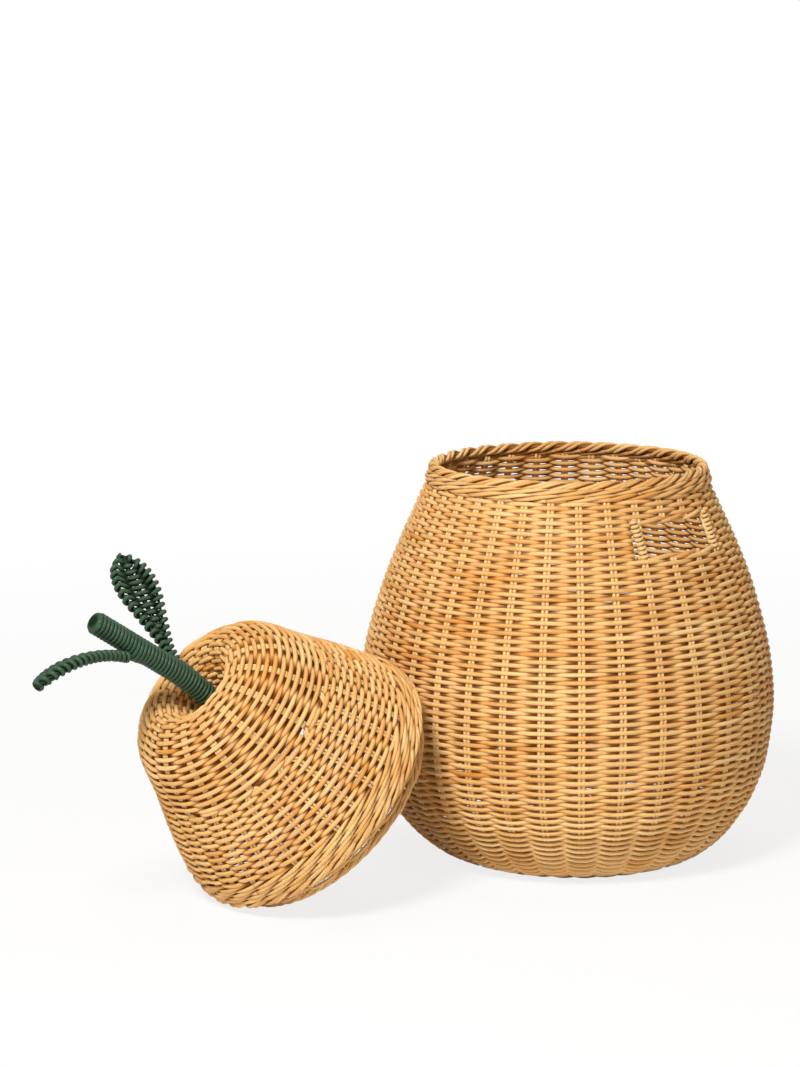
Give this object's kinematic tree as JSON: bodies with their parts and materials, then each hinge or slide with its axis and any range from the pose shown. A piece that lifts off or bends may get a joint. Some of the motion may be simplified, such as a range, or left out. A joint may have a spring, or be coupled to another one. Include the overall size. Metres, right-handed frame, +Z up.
{
  "type": "lidded storage basket",
  "caption": "Pear-shaped woven rattan storage basket with two hand holes and a lift-off domed lid that has a cord-wound stem and woven leaves.",
  "frame": {"origin": "on the floor, under the axis of the round basket", "axes": "+Z up along the basket's axis, +X through the middle of one hand hole, -Y towards the side where the taken-off lid leans"},
  "size_m": [0.3977, 0.7977, 0.3836],
  "materials": {
    "natural_rattan": "honey-coloured round rattan core, satin",
    "border_rattan": "thicker rattan of the borders, satin",
    "peeled_stick": "stakes, sticks and peg, matte",
    "green_cord": "dark green painted cord, matte",
    "dark_green": "dark green painted rods, matte"
  },
  "bodies": {
    "basket": {"foot_border": "border_rattan", "base_weave": "border_rattan", "base_spokes": "peeled_stick", "wall_foot": "natural_rattan", "wall_belly": "natural_rattan", "wall_shoulder": "natural_rattan", "wall_panel_front": "natural_rattan", "wall_panel_back": "natural_rattan", "wall_upper": "natural_rattan", "handle_post_right_front": "peeled_stick", "handle_post_right_back": "peeled_stick", "handle_post_left_front": "peeled_stick", "handle_post_left_back": "peeled_stick", "handle_binding_right_front": "natural_rattan", "handle_binding_right_back": "natural_rattan", "handle_binding_left_front": "natural_rattan", "handle_binding_left_back": "natural_rattan", "mouth_wale": "natural_rattan", "mouth_border": "border_rattan"},
    "stem_peg": {"stem_peg": "peeled_stick"},
    "lid": {"lid_side": "natural_rattan", "lid_crown": "natural_rattan", "lid_wale": "natural_rattan", "lid_border": "border_rattan", "collar_weave": "natural_rattan", "collar_border": "border_rattan", "stem_core": "dark_green", "stem_wrap": "green_cord", "stem_cap": "green_cord", "leaf_upper_rim": "dark_green", "leaf_upper_web": "green_cord", "leaf_upper_rib_left": "dark_green", "leaf_upper_rib_right": "dark_green", "leaf_lower_rim": "dark_green", "leaf_lower_web": "green_cord", "leaf_lower_rib_left": "dark_green", "leaf_lower_rib_right": "dark_green"}
  },
  "joints": [
    {"name": "lid_carry", "type": "hinge", "parent": "basket", "child": "stem_peg", "pos_m": [-0.05027, -0.31739, 0.49232], "axis": [-0.9877, 0.1564, 0], "range_deg": [0, 260.7]},
    {"name": "lid_turn", "type": "hinge", "parent": "stem_peg", "child": "lid", "pos_m": [-0.05835, -0.36841, 0.17515], "axis": [-0.9877, 0.1564, 0], "range_deg": [-212.91, 0]}
  ],
  "couplings": [
    {"joint": "lid_turn", "follows": "lid_carry", "ratio": -0.81668}
  ]
}
